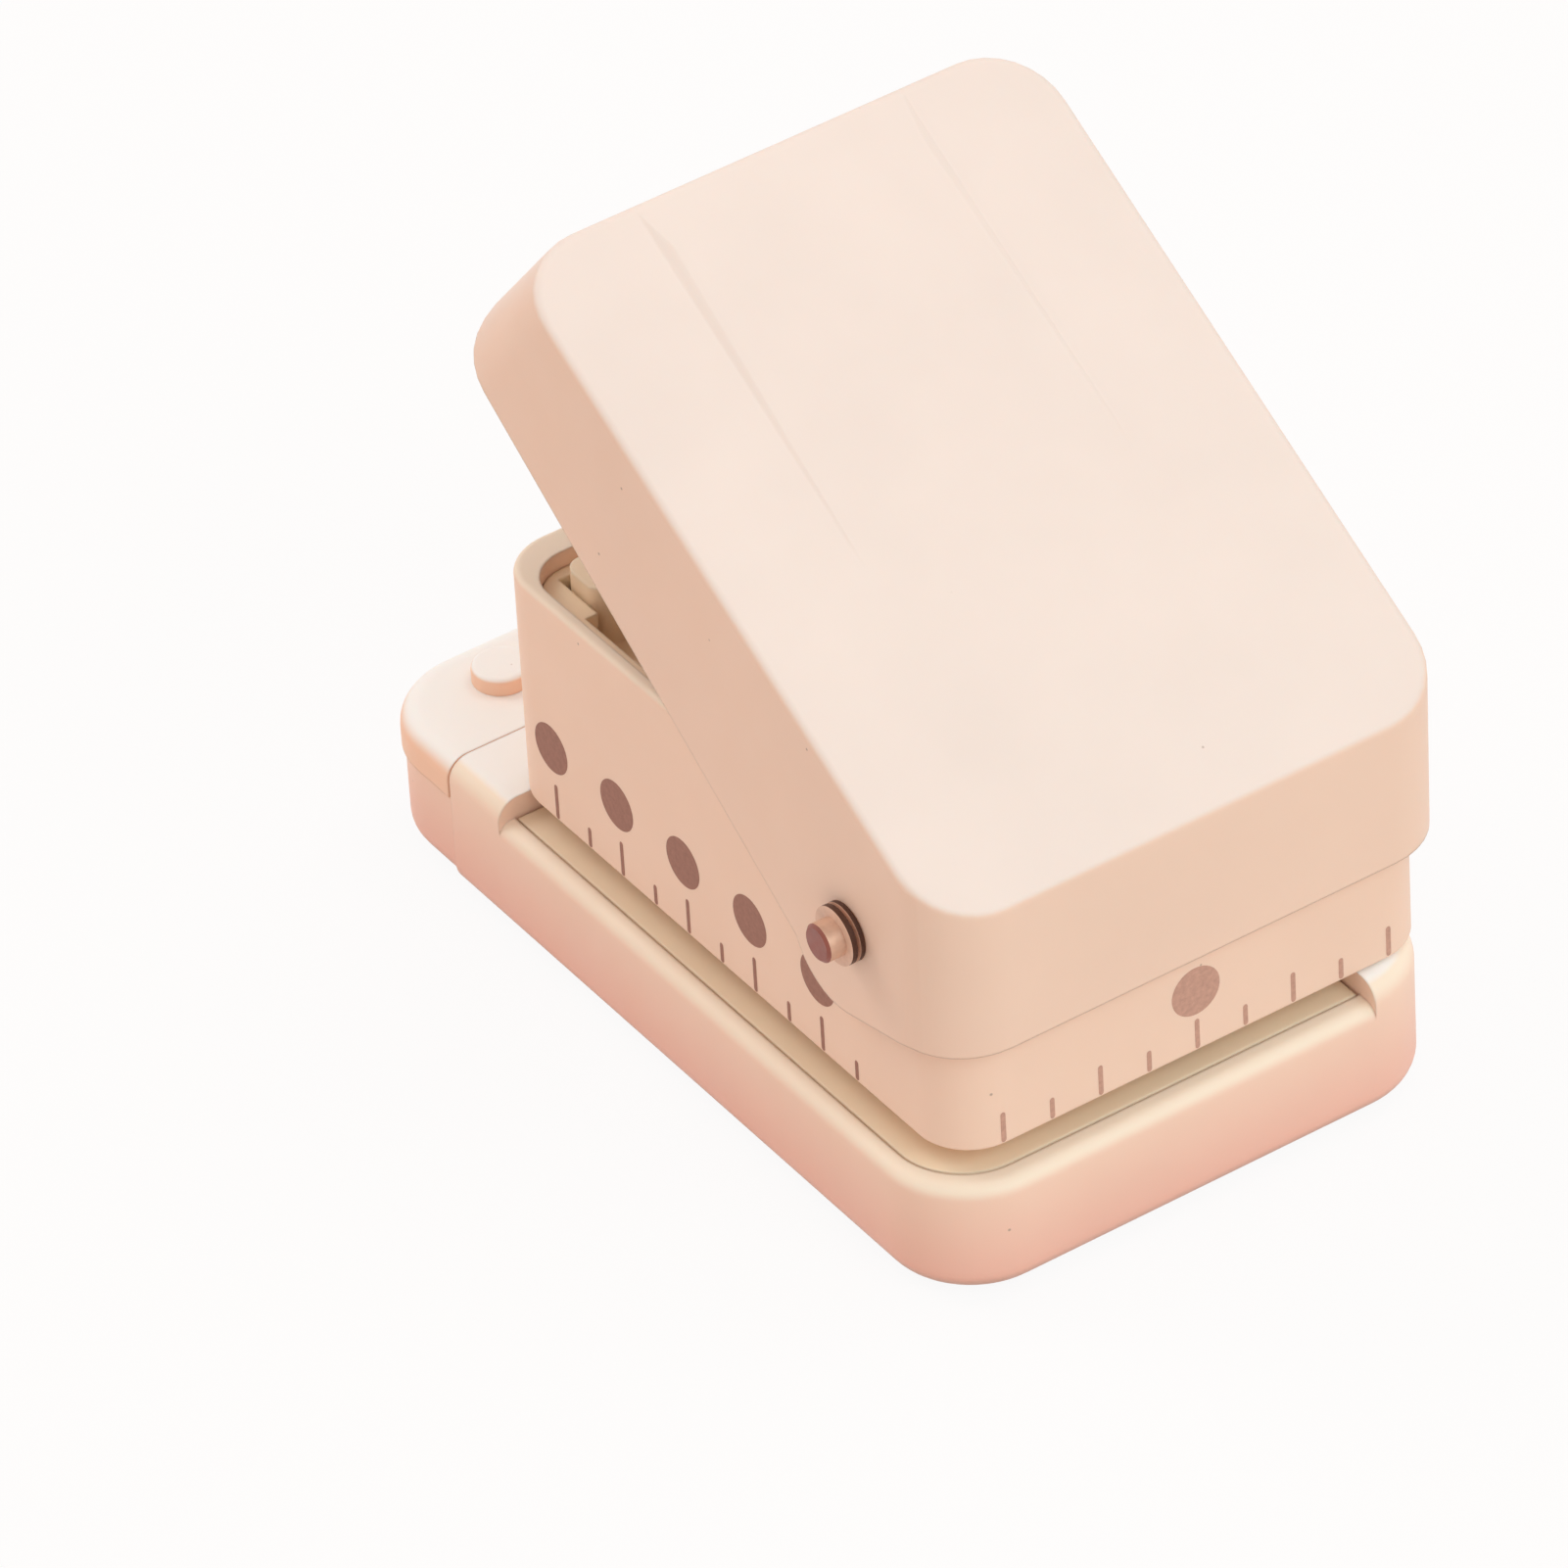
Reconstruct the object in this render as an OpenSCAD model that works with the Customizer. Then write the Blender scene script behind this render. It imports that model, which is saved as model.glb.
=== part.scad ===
// Portable hole punch: five holes in a row along the left side, one hole at the front.
// Millimetres, +Z up, +X to the right along the front face, +Y from the front to the rear.
// The origin is under the middle of the punch body, on the surface that the punch stands on.
// The lever is drawn open, at rest.

/* [Punching] */
// Distance between the holes of the row
hole_pitch = 9.5; // [9:0.1:10]
// Diameter of a punch
punch_d = 5.5; // [5:0.1:6]
// From the left or front face of the body to the middle of the holes
punch_inset = 7.3; // [7:0.1:7.6]
// From the front of the body to the first hole of the row
row_start = 18.55; // [18.2:0.05:19.5]
// From the last hole of the row to the rear of the body
row_end = 7.45; // [7.4:0.05:9]
// From the middle of a hole to the edge of the paper
paper_margin = 6.3; // [5.6:0.1:6.5]
// Height of the paper slot
slot_h = 2.3; // [1.8:0.1:2.6]
// Height of the resting punch above the paper slot
tip_rise = 0.5; // [0.3:0.1:0.8]
// How far the punch goes into the die
die_entry = 1.2; // [0.8:0.1:1.4]
// Thickness of the dies
die_t = 1.5; // [1.2:0.1:1.6]

/* [Punch body] */
// Width of the body
body_w = 47.5; // [46.5:0.5:52]
// Height of the body above the paper slot
body_h = 22.5; // [21.5:0.5:24]
// Radius of the body's upright corners
body_r = 5; // [4:0.5:6]
// Thickness of the body's walls
wall = 2.2; // [1.8:0.1:2.4]
// Thickness of the body's rear wall
rear_wall = 3; // [2.6:0.1:3.1]
// Thickness of the rim round the top frame
rim_t = 1.1; // [1:0.05:1.2]
// Depth of the top frame below the rim
frame_down = 1.6; // [1.4:0.1:1.8]
// Thickness of the body's floor, which guides the punches
floor_t = 3; // [2.6:0.1:3.2]

/* [Base] */
// Height of the base up to the top of the paper slot
base_h = 13.3; // [13:0.1:15]
// How far the base stands out on the left
base_left = 2.7; // [2.6:0.1:4]
// How far the base stands out at the front
base_front = 2.2; // [2:0.1:3]
// How far the base stands out on the right
base_right = 0.1; // [0.1:0.1:1]
// How far the base stands out behind the body
base_rear = 17.6; // [17:0.1:19]
// Thickness of the base's walls
base_wall = 2.2; // [1.8:0.1:2.4]
// Radius of the base's upright corners
base_r = 8; // [7.5:0.5:9]
// Radius of the base's lower edge
base_foot_r = 2.4; // [2:0.2:3]
// Radius of the base's upper edge along the slot
base_rim_r = 1.3; // [1:0.1:1.3]
// Radius of the upper edge of the raised land and the gauge
land_rim_r = 2; // [1.5:0.1:2.4]
// Width of the raised land that ends the front slot
land_w = 7.75; // [7.2:0.05:9]
// From the rear of the body to the end of the left slot
slot_end = 2.7; // [2.4:0.1:2.9]
// Width of the rim beside the deck plate
rim_w = 1.6; // [1.4:0.05:1.8]
// Thickness of the deck plate
deck_t = 2; // [1.8:0.1:2.2]
// Groove round the deck plate
deck_gap = 0.2; // [0.15:0.05:0.25]

/* [Chip tray] */
// Thickness of the tray's bottom
tray_t = 1.6; // [1.4:0.1:1.8]
// How far the tray stands out below the base
tray_stand = 0.4; // [0.3:0.1:0.6]
// Height of the tray's rim
tray_rim_h = 2.6; // [2:0.1:3]

/* [Paper gauge] */
// From the rear of the body to the front of the gauge block
gauge_seam = 4.6; // [4:0.1:5]
// Height of the gauge block
gauge_h = 3.7; // [3.4:0.1:4]
// Diameter of the gauge stud
stud_d = 5.1; // [4.6:0.1:5.4]
// Height of the gauge stud
stud_h = 1.6; // [1.2:0.1:2]
// Length of the gauge tongue inside the base
tongue_l = 31; // [29:0.5:33]
// Thickness of the gauge tongue
tongue_t = 2.4; // [2.2:0.1:2.6]
// Width of the gauge tongue
tongue_w = 14; // [12:0.5:15]

/* [Lever] */
// Angle of the open lever
open_angle = 29.8; // [28:0.2:31]
// Thickness of the lever's walls
lever_wall = 1.25; // [1.1:0.05:1.4]
// Gap between the lever and the body
lever_gap = 0.35; // [0.3:0.05:0.5]
// Thickness of the lever's top
roof_t = 1.6; // [1.4:0.1:2]
// Height of the lever's top above the pivot
lever_top = 12.3; // [12:0.1:13]
// Length of the lever behind the pivot
lever_reach = 58.4; // [58:0.2:62]
// Depth of the lever's side below the pivot, at its rear end
lever_rear_drop = 2.9; // [2.6:0.1:3.4]
// Depth of the lever's side below the pivot, at the pivot
lever_pivot_drop = 8.8; // [8.2:0.1:9]
// Depth of the round ear below the pivot
ear_drop = 9.1; // [8.8:0.1:9.8]
// Depth of the front skirt below the pivot
skirt_drop = 7.1; // [6.7:0.1:7.7]
// Radius of the lever's upper edges
lever_edge_r = 0.7; // [0.5:0.1:1.3]
// Lean of the lever's rear wall
rear_lean = 10.5; // [9:0.5:12]
// Radius of the lower corner of the lever's side at the rear
corner_r = 3; // [2:0.5:4]
// Width of the raised panel on the lever
panel_w = 26; // [22:1:30]
// Height of the raised panel at the rear
panel_rise = 0.4; // [0.3:0.1:0.8]

/* [Pivot] */
// Diameter of the pivot pin
pin_d = 3.4; // [3:0.1:3.6]
// From the front of the body to the pivot
pin_back = 11.2; // [11:0.1:11.6]
// Depth of the pivot below the rim of the body
pin_down = 4.6; // [4.1:0.1:4.8]
// How far the pin stands out of the lever
pin_stand = 3; // [2.6:0.1:3.4]
// Diameter of a retaining clip
clip_d = 5.2; // [4.8:0.1:5.8]
// Thickness of a retaining clip
clip_t = 0.5; // [0.4:0.1:0.7]
// Thickness of a pivot washer
washer_t = 0.4; // [0.3:0.05:0.5]
// Gap between a washer and its clip
clip_space = 0.3; // [0.2:0.05:0.4]

/* [Return springs] */
// Outside diameter of a spring
spring_d = 7; // [6.5:0.1:7.4]
// Diameter of the spring wire
wire_d = 0.8; // [0.7:0.05:0.9]
// Number of turns
spring_turns = 6; // [5:1:6]

/* [Fits] */
// Gap between pieces that move past each other
slide_gap = 0.3; // [0.25:0.05:0.4]
// Gap between pieces that sit in each other
seat_gap = 0.1; // [0.06:0.02:0.14]
// Radial clearance of a punch in its guide and its die
punch_clear = 0.05; // [0.03:0.01:0.08]
// Radial clearance of the pivot pin in the lever
pin_clear = 0.05; // [0.03:0.01:0.08]

/* [Hidden] */
$fn = 64;
far = 200;
row_count = 5;
stud_steps = 2;
cream = "#f6e2d3";
steel = "#b9bcc0";
bronze = "#7a4a3c";

// Outline of the body and the levels of the stack
body_l = row_start + (row_count - 1) * hole_pitch + row_end;
front = -body_l / 2;
rear = body_l / 2;
left = -body_w / 2;
right = body_w / 2;
ceiling = tray_stand + base_h;
deck_z = ceiling - slot_h;
rim_z = ceiling + body_h;
floor_z = ceiling + floor_t;
body_rim_r = 0.6;
body_foot_r = 0.25;

// Holes and paper stops
row_x = left + punch_inset;
single_y = front + punch_inset;
stop_x = row_x + paper_margin;
stop_y = single_y + paper_margin;
bore_d = punch_d + 2 * punch_clear;
stroke = tip_rise + slot_h + die_entry;

// Outline of the base; its raised land leaves a paper-thin gap under the body
base_x0 = left - base_left;
base_x1 = right + base_right;
base_y0 = front - base_front;
base_y1 = rear + base_rear;
land_z = ceiling - 0.2;
land_x = right - land_w;
land_inset = 0.6;
slot_y1 = rear - slot_end;

// Deck plate, dies and the roof under them
deck_x0 = base_x0 + rim_w;
deck_r = base_r - rim_w;
die_w = punch_d + 2.6;
die_r = 1.5;
chip_hole_d = punch_d + 1;
chip_top = deck_z - deck_t - 1.3;
land_roof = land_z - 2.4;

// Chip tray, the frame that it sits in and the ledge that it stops at
tray_inset = base_foot_r + 0.9;
ledge_w = 0.8;
ledge_t = 1.2;
tray_rim_t = 1.2;
nail_r = 4;
ledge_z = tray_t + seat_gap;

// Presser, carrier and punches
head_d = punch_d + 2;
head_t = 1.5;
carrier_t = 2;
carrier_z = floor_z + stroke + 0.4;
press_z = carrier_z + carrier_t;
carrier_x1 = row_x + head_d / 2 + 4;
single_half = head_d / 2 + 1.7;
tie_y = single_y + head_d / 2 + 2;
carrier_screw_d = 2;
carrier_screw_l = 5;
carrier_screws_at = [[carrier_x1 - 2, row_y(0)], [carrier_x1 - 2, row_y(row_count - 1)], [0, tie_y]];
inner_x0 = left + wall + slide_gap;
inner_x1 = right - wall - slide_gap;
inner_y0 = front + wall + slide_gap;
inner_y1 = rear - rear_wall - slide_gap;

// Pivot and the cam lobe under the lever, which drops the presser by the stroke
pin_y = front + pin_back;
pin_z = rim_z - pin_down;
cam_arm = stroke / (2 * sin(open_angle / 2));
cam_y = cam_arm * cos(open_angle / 2);
cam_z = cam_arm * sin(open_angle / 2);
cam_r = 3;
cam_web = 4;
cam_half = body_w / 2 - wall - 5;
press_top = pin_z + cam_z - cam_r - 0.05;
cap_t = 3;
cap_z = press_top - cap_t;
cap_front = pin_y + pin_d / 2 + 0.6;
cap_r = body_r - wall - slide_gap;
tongue_top = pin_z - pin_d / 2 - 0.6;
// Frame round the presser: narrow along the sides, wider beside the presser's block
frame_t = 1.5;
frame_z = rim_z - frame_down - frame_t;
frame_r = body_r - rim_t;
frame_lip = 0.45;
frame_half = body_w / 2 - wall - frame_lip;
frame_bar = 1.2;
frame_l = 6.9;
// Raised block at the rear of the presser, which stands in the frame
block_half = frame_half - 1.5;
block_y1 = rear - rear_wall - frame_bar - slide_gap;
block_l = 5.1;
block_r = 1.5;
// Step in the front of the body that the lever's skirt swings over
ledge_l = 6.5;
ledge_top = pin_z + 2;

// Lever plan and side
lever_off = lever_wall + lever_gap;
lever_half = body_w / 2 + lever_off;
lever_r = body_r + lever_off;
lever_front = -pin_back - lever_off;
lever_depth = 20;
rear_line = lever_reach * cos(rear_lean) + (lever_top - lever_edge_r) * sin(rear_lean);
panel_start = 22;
panel_slope = 0.9;
panel_fall = 4;
ear_back = 8;
ear_front = 7.8;
ear_r = 6;
ear_sweep = 10;
rib_x = 12;
rib_t = 1.2;
rib_h = 3;
rib_end = 0.3;

// Pivot hardware
groove_d = pin_d - 0.8;
pin_bevel = 0.25;
pin_half = lever_half + pin_stand;

// Springs
spring_front = 23;
spring_rear = 11;
spring_at = [[0, front + spring_front], [0, rear - spring_rear]];
spring_peg_h = 1.5;
spring_seat = 1;
spring_l = cap_z + spring_seat - floor_z;

// Gauge block, tongue and stop pin
gauge_y = rear + gauge_seam;
gauge_top = ceiling - 0.4;
gauge_z = gauge_top - gauge_h;
shelf_inset = 0.3;
shelf_rim_r = 0.4;
tongue_x0 = 1 - tongue_w / 2;
tongue_z = gauge_z + 0.2;
tunnel_wall = 1.2;
gauge_travel = stud_steps * hole_pitch;
stud_y = row_y(row_count - 1 + stud_steps);
stop_pin_d = 2;
stop_pin_at = [1, rear - 4];
stop_slot_half = stop_pin_d / 2 + slide_gap;

// Screws that hold the body on the base
screw_d = 2.5;
screw_head_d = 4.6;
screw_head_t = 1.6;
screw_reach = 4;
screw_top = floor_z + screw_reach;
boss_d = 6.4;
cross_w = 0.6;
cross_l = 2.6;
cross_depth = 0.8;
screw_side = 7.5;
screw_front = 18;
screw_rear = 8;
screw_middle = 30;
screws_at = [[right - screw_side, front + screw_front], [right - screw_side, rear - screw_rear],
             [stop_x + 2 * screw_side - 1, front + screw_middle]];

// Place along the row: 0 is the hole nearest to the front
function row_y(i) = front + row_start + i * hole_pitch;

// Rectangle with four round corners
module round_rect(x0, y0, x1, y1, r) {
  translate([x0 + r, y0]) square([x1 - x0 - 2 * r, y1 - y0]);
  translate([x0, y0 + r]) square([x1 - x0, y1 - y0 - 2 * r]);
  for (x = [x0 + r, x1 - r], y = [y0 + r, y1 - r]) translate([x, y]) circle(r);
}

// Section through a moulded edge: upright outer face at r, rounded at the top and the foot
module edge_section(r, z0, z1, top_r, foot_r) {
  difference() {
    translate([0, z0]) square([r, z1 - z0]);
    translate([r - top_r, z1 - top_r]) square(top_r + 1);
    if (foot_r > 0) translate([r - foot_r, z0 - 1]) square(foot_r + 1);
  }
  intersection() {
    translate([r - top_r, z1 - top_r]) circle(top_r);
    translate([r - top_r, z1 - top_r]) square(top_r);
  }
  if (foot_r > 0) translate([r - foot_r, z0 + foot_r]) circle(foot_r);
}

// Moulded slab with round upright corners and rounded upper and lower edges
module moulded_slab(x0, y0, x1, y1, z0, z1, r, top_r, foot_r) {
  translate([x0 + r, y0 + r, z0]) cube([x1 - x0 - 2 * r, y1 - y0 - 2 * r, z1 - z0]);
  for (side = [[x1 - r, y0 + r, 0, y1 - y0], [x1 - r, y1 - r, 90, x1 - x0],
               [x0 + r, y1 - r, 180, y1 - y0], [x0 + r, y0 + r, 270, x1 - x0]])
    translate([side[0], side[1], 0]) rotate(side[2]) {
      translate([0, side[3] - 2 * r, 0]) rotate([90, 0, 0])
        linear_extrude(side[3] - 2 * r) edge_section(r, z0, z1, top_r, foot_r);
      rotate(-90) rotate_extrude(angle = 90) edge_section(r, z0, z1, top_r, foot_r);
    }
}

// Cylinder along X, through everything
module cross_bore(y, z, d) {
  translate([-far / 2, y, z]) rotate([0, 90, 0]) cylinder(d = d, h = far);
}

// Places of the punches: the row on the left, then the single one at the front
module at_row() {
  for (i = [0 : row_count - 1]) translate([row_x, row_y(i), 0]) children();
}

module at_single() {
  translate([0, single_y, 0]) children();
}

module at_punches() {
  at_row() children();
  at_single() children();
}

module at_each(places) {
  for (p = places) translate([p[0], p[1], 0]) children();
}

// Plan of the L-shaped paper slot, drawn in by gap at the paper stops
module slot_plan(gap) {
  translate([-far, -far]) square([far + land_x - gap, far + stop_y - gap]);
  translate([-far, -far]) square([far + stop_x - gap, far + slot_y1 - gap]);
}

// Plan of the deck plate: it fills the slot up to the rim and has one round outer corner
module deck_plan(gap) {
  intersection() {
    round_rect(deck_x0 + gap, front + gap, far, far, deck_r - gap);
    slot_plan(gap);
  }
}

// Plan of the base, set in by t
module base_plan(t) {
  round_rect(base_x0 + t, base_y0 + t, base_x1 - t, base_y1 - shelf_inset - t, max(base_r - t, 1));
}

// Outside of the base: low along the slot, raised at the right and the rear, lower under the gauge
module base_outside() {
  intersection() {
    moulded_slab(base_x0, base_y0, base_x1, base_y1, tray_stand, deck_z, base_r, base_rim_r, base_foot_r);
    linear_extrude(far) slot_plan(0);
  }
  intersection() {
    moulded_slab(base_x0, base_y0, base_x1, base_y1, tray_stand, land_z, base_r, land_rim_r, base_foot_r);
    linear_extrude(far) difference() {
      translate([-far, gauge_y - 2 * far]) square(2 * far);
      slot_plan(0);
    }
  }
  intersection() {
    moulded_slab(base_x0 + shelf_inset, base_y0, base_x1 - shelf_inset, base_y1 - shelf_inset,
                 tray_stand, gauge_z - seat_gap, base_r - shelf_inset, shelf_rim_r, base_foot_r);
    translate([-far, gauge_y, 0]) cube([2 * far, far, far]);
  }
  // Land that the body stands on
  translate([0, 0, land_roof]) linear_extrude(ceiling - land_roof) difference() {
    round_rect(left + land_inset, front + land_inset, right - land_inset, rear - land_inset,
               body_r - land_inset);
    slot_plan(0);
    translate([-far, -far]) square([far + stop_x, 2 * far]);
  }
}

// Hollow of the base, less the tunnel of the gauge tongue and the bosses of the screws
module base_hollow() {
  translate([0, 0, -1]) linear_extrude(ledge_z + 1) base_plan(tray_inset);
  translate([0, 0, -1]) linear_extrude(ledge_z + ledge_t + 2) base_plan(tray_inset + ledge_w);
  difference() {
    union() {
      translate([0, 0, ledge_z + ledge_t]) linear_extrude(chip_top - ledge_z - ledge_t) base_plan(base_wall);
      translate([0, 0, chip_top - 1]) linear_extrude(land_roof - chip_top + 1)
        round_rect(stop_x + base_wall, stop_y + base_wall, base_x1 - base_wall, gauge_y - base_wall, 1);
    }
    translate([tongue_x0 - seat_gap - tunnel_wall, gauge_y - tongue_l - tunnel_wall - slide_gap,
               tongue_z - seat_gap - tunnel_wall])
      cube([tongue_w + 2 * (seat_gap + tunnel_wall), tongue_l + tunnel_wall + slide_gap, far]);
    at_each(screws_at) translate([0, 0, chip_top]) cylinder(d = boss_d, h = far);
  }
}

module base_shell() {
  color(cream) difference() {
    base_outside();
    base_hollow();
    // Pocket for the deck plate, with the holes that the chips fall through
    translate([0, 0, deck_z - deck_t]) linear_extrude(deck_t + 0.01) deck_plan(0);
    at_punches() translate([0, 0, chip_top - 1]) cylinder(d = chip_hole_d, h = deck_z - chip_top);
    // Channel for the gauge tongue, and the hole for its stop pin
    translate([tongue_x0 - seat_gap, gauge_y - tongue_l - slide_gap, tongue_z - seat_gap])
      cube([tongue_w + 2 * seat_gap, tongue_l + slide_gap + 1, tongue_t + 2 * seat_gap]);
    at_each([stop_pin_at]) cylinder(d = stop_pin_d, h = tongue_z);
    at_each(screws_at) translate([0, 0, chip_top - 1]) cylinder(d = screw_d + 2 * seat_gap, h = far);
  }
}

module deck_plate() {
  color(cream) difference() {
    translate([0, 0, deck_z - deck_t]) linear_extrude(deck_t) deck_plan(deck_gap);
    translate([0, 0, deck_z - die_t]) linear_extrude(far) {
      die_strip_plan(seat_gap);
      single_die_plan(seat_gap);
    }
    at_punches() cylinder(d = chip_hole_d, h = far);
  }
}

module die_strip_plan(gap) {
  end = die_w / 2 + gap;
  round_rect(row_x - end, row_y(0) - end, row_x + end, row_y(row_count - 1) + end, die_r);
}

module single_die_plan(gap) {
  end = die_w / 2 + gap;
  round_rect(-end, single_y - end, end, single_y + end, die_r);
}

module die_strip() {
  color(steel) difference() {
    translate([0, 0, deck_z - die_t]) linear_extrude(die_t) die_strip_plan(0);
    at_row() cylinder(d = bore_d, h = far);
  }
}

module single_die() {
  color(steel) difference() {
    translate([0, 0, deck_z - die_t]) linear_extrude(die_t) single_die_plan(0);
    at_single() cylinder(d = bore_d, h = far);
  }
}

// Plan of the top frame, drawn in by gap
module frame_plan(gap) {
  intersection() {
    round_rect(left + rim_t + gap, -far, right - rim_t - gap, rear - rear_wall - gap, frame_r - gap);
    translate([-far, cap_front + gap]) square(2 * far);
  }
}

module punch_body() {
  color(cream) difference() {
    union() {
      difference() {
        moulded_slab(left, front, right, rear, ceiling, rim_z, body_r, body_rim_r, body_foot_r);
        translate([0, 0, floor_z]) linear_extrude(far)
          round_rect(left + wall, front + wall, right - wall, rear - rear_wall, body_r - wall);
        translate([0, 0, frame_z]) linear_extrude(far) frame_plan(0);
      }
      at_each(screws_at) translate([0, 0, floor_z - 1]) cylinder(d = boss_d, h = screw_top - floor_z + 1.6);
      // Pegs inside the springs
      at_each(spring_at) translate([0, 0, floor_z - 1])
        cylinder(d = spring_d - 2 * wire_d - 2 * slide_gap, h = spring_peg_h + 1);
    }
    translate([-far / 2, front - 1, ledge_top]) cube([far, ledge_l + 1, far]);
    at_punches() cylinder(d = bore_d, h = far);
    at_each(screws_at) cylinder(d = screw_d, h = screw_top + slide_gap);
    cross_bore(pin_y, pin_z, pin_d);
  }
}

// Frame that lies in the rebate of the body and leaves the presser and its block free
module top_frame() {
  window = block_half + slide_gap;
  color(cream) translate([0, 0, frame_z]) linear_extrude(frame_t) difference() {
    frame_plan(seat_gap);
    translate([-frame_half, -far]) square([2 * frame_half, far + rear - rear_wall - frame_l]);
    translate([-window, -far]) square([2 * window, far + block_y1 + slide_gap]);
  }
}

module body_screws() {
  color(steel) at_each(screws_at) {
    translate([0, 0, chip_top]) cylinder(d = screw_d, h = screw_top - chip_top);
    translate([0, 0, chip_top - screw_head_t]) difference() {
      cylinder(d = screw_head_d, h = screw_head_t);
      for (turn = [0, 90]) rotate(turn) translate([-cross_l / 2, -cross_w / 2, -1])
        cube([cross_l, cross_w, cross_depth + 1]);
    }
  }
}

// Pieces on the pivot pin, from the lever's outer face outwards: side is -1 on the left, 1 on the right
module on_pin(side) {
  translate([0, pin_y, pin_z]) rotate([0, 90 * side, 0]) translate([0, 0, lever_half + seat_gap]) children();
}

// Pin with bevelled ends and a groove for a clip near each end
module pivot_pin() {
  length = 2 * pin_half;
  color(bronze) difference() {
    translate([-pin_half, pin_y, pin_z]) rotate([0, 90, 0]) rotate_extrude()
      polygon([[0, 0], [pin_d / 2 - pin_bevel, 0], [pin_d / 2, pin_bevel], [pin_d / 2, length - pin_bevel],
               [pin_d / 2 - pin_bevel, length], [0, length]]);
    for (side = [-1, 1]) on_pin(side) translate([0, 0, washer_t + clip_space]) difference() {
      cylinder(d = pin_d + 1, h = clip_t);
      translate([0, 0, -1]) cylinder(d = groove_d, h = clip_t + 2);
    }
  }
}

module pin_washer(side) {
  color(bronze) on_pin(side) difference() {
    cylinder(d = clip_d, h = washer_t);
    translate([0, 0, -1]) cylinder(d = pin_d, h = washer_t + 2);
  }
}

// Open retaining clip: a ring with a mouth to the lower rear
module pin_clip(side) {
  mouth = groove_d - 0.3;
  color(bronze) on_pin(side) translate([0, 0, washer_t + clip_space]) rotate(135 * side) difference() {
    cylinder(d = clip_d, h = clip_t);
    translate([0, 0, -1]) cylinder(d = groove_d, h = clip_t + 2);
    translate([-mouth / 2, -clip_d, -1]) cube([mouth, clip_d, clip_t + 2]);
  }
}

// Frame of the lever: its origin is on the pivot and its top is level
module lever_frame() {
  translate([0, pin_y, pin_z]) rotate([open_angle, 0, 0]) children();
}

// Solid skin of the lever: its front is upright when the lever is open, its rear leans out downwards
module lever_skin() {
  top = lever_top - lever_edge_r;
  bend_r = lever_r - lever_edge_r;
  front_y = lever_front + bend_r * cos(open_angle) + lever_edge_r;
  front_top_y = (front_y + top * sin(open_angle)) / cos(open_angle);
  rear_y = lever_reach - lever_r;
  hull($fn = 32) {
    for (x = [-1, 1] * (lever_half - lever_r)) {
      for (y = [front_top_y, rear_y])
        translate([x, y, top]) rotate_extrude($fn = 32) translate([bend_r, 0]) circle(lever_edge_r, $fn = 16);
      translate([x, rear_y + (top + lever_depth) * tan(rear_lean), -lever_depth - 1])
        cylinder(r = lever_r, h = 1, $fn = 32);
      rotate([-open_angle, 0, 0]) translate([x, lever_front + lever_r, -lever_depth])
        cylinder(r = lever_r, h = 1, $fn = 32);
    }
  }
}

// Inside of the lever, one wall in from its skin
module lever_inside() {
  half = lever_half - lever_wall;
  r = lever_r - lever_wall;
  intersection() {
    translate([-far, -far, -lever_depth]) cube([2 * far, 2 * far, lever_depth + lever_top - roof_t]);
    rotate([-open_angle, 0, 0]) translate([0, 0, -far / 2]) linear_extrude(far)
      round_rect(-half, lever_front + lever_wall, half, far, r);
    rotate([rear_lean, 0, 0]) translate([0, 0, -far / 2]) linear_extrude(far)
      round_rect(-half, -far, half, rear_line - lever_wall, r);
  }
}

// Height of the lever's straight lower edge, and a point of the open lever in the lever's own frame
function lower_edge(y) = y * (lever_pivot_drop - lever_rear_drop) / lever_reach - lever_pivot_drop;
function closed(y, z) =
  [y * cos(open_angle) + z * sin(open_angle), z * cos(open_angle) - y * sin(open_angle)];

// Points of an arc from one angle to another
function arc(middle, r, from, to, steps) =
  [for (i = [0 : steps])
    let (a = from + (to - from) * i / steps) [middle[0] + r * cos(a), middle[1] + r * sin(a)]];

// Side view of the lever: round lower corner at the rear, round ear below the pivot, skirt in front of it
module lever_side() {
  slope = atan(lower_edge(1) - lower_edge(0));
  past = lever_reach + 20;
  corner_y = (rear_line - corner_r - (corner_r / cos(slope) + lower_edge(0)) * sin(rear_lean))
    / (cos(rear_lean) + tan(slope) * sin(rear_lean));
  corner = arc([corner_y, lower_edge(corner_y) + corner_r / cos(slope)], corner_r, 0, slope - 90, 6);
  ear_middle = closed(ear_back - ear_r, ear_r - ear_drop);
  ear_lift = (ear_middle[1] - lower_edge(ear_middle[0])) * cos(slope);
  ear_from = slope - 90 + acos(ear_lift / ear_r);
  ear = arc(ear_middle, ear_r, ear_from, -90 - open_angle - ear_sweep, 8);
  polygon(concat([[-past, past], [corner[0][0], past]], corner, ear,
                 [closed(-ear_front, -skirt_drop), closed(-past, -skirt_drop)]));
}

// Side view stretched across a width
module across(width) {
  translate([-width / 2, 0, 0]) rotate([90, 0, 90]) linear_extrude(width) children();
}

// Raised panel with sloping sides: it runs out towards the front and falls off at the rear
module lever_panel() {
  end = lever_reach - lever_edge_r;
  high = lever_top + panel_rise;
  low = lever_top - roof_t / 2;
  half = panel_w / 2;
  intersection() {
    across(panel_w) polygon([[panel_start, low], [panel_start, lever_top], [end - panel_fall, high],
                             [end, lever_top], [end, low]]);
    translate([0, end, 0]) rotate([90, 0, 0]) linear_extrude(end - panel_start)
      polygon([[-half, low], [half, low], [half, lever_top], [half - panel_slope, high],
               [panel_slope - half, high], [-half, lever_top]]);
  }
}

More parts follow.
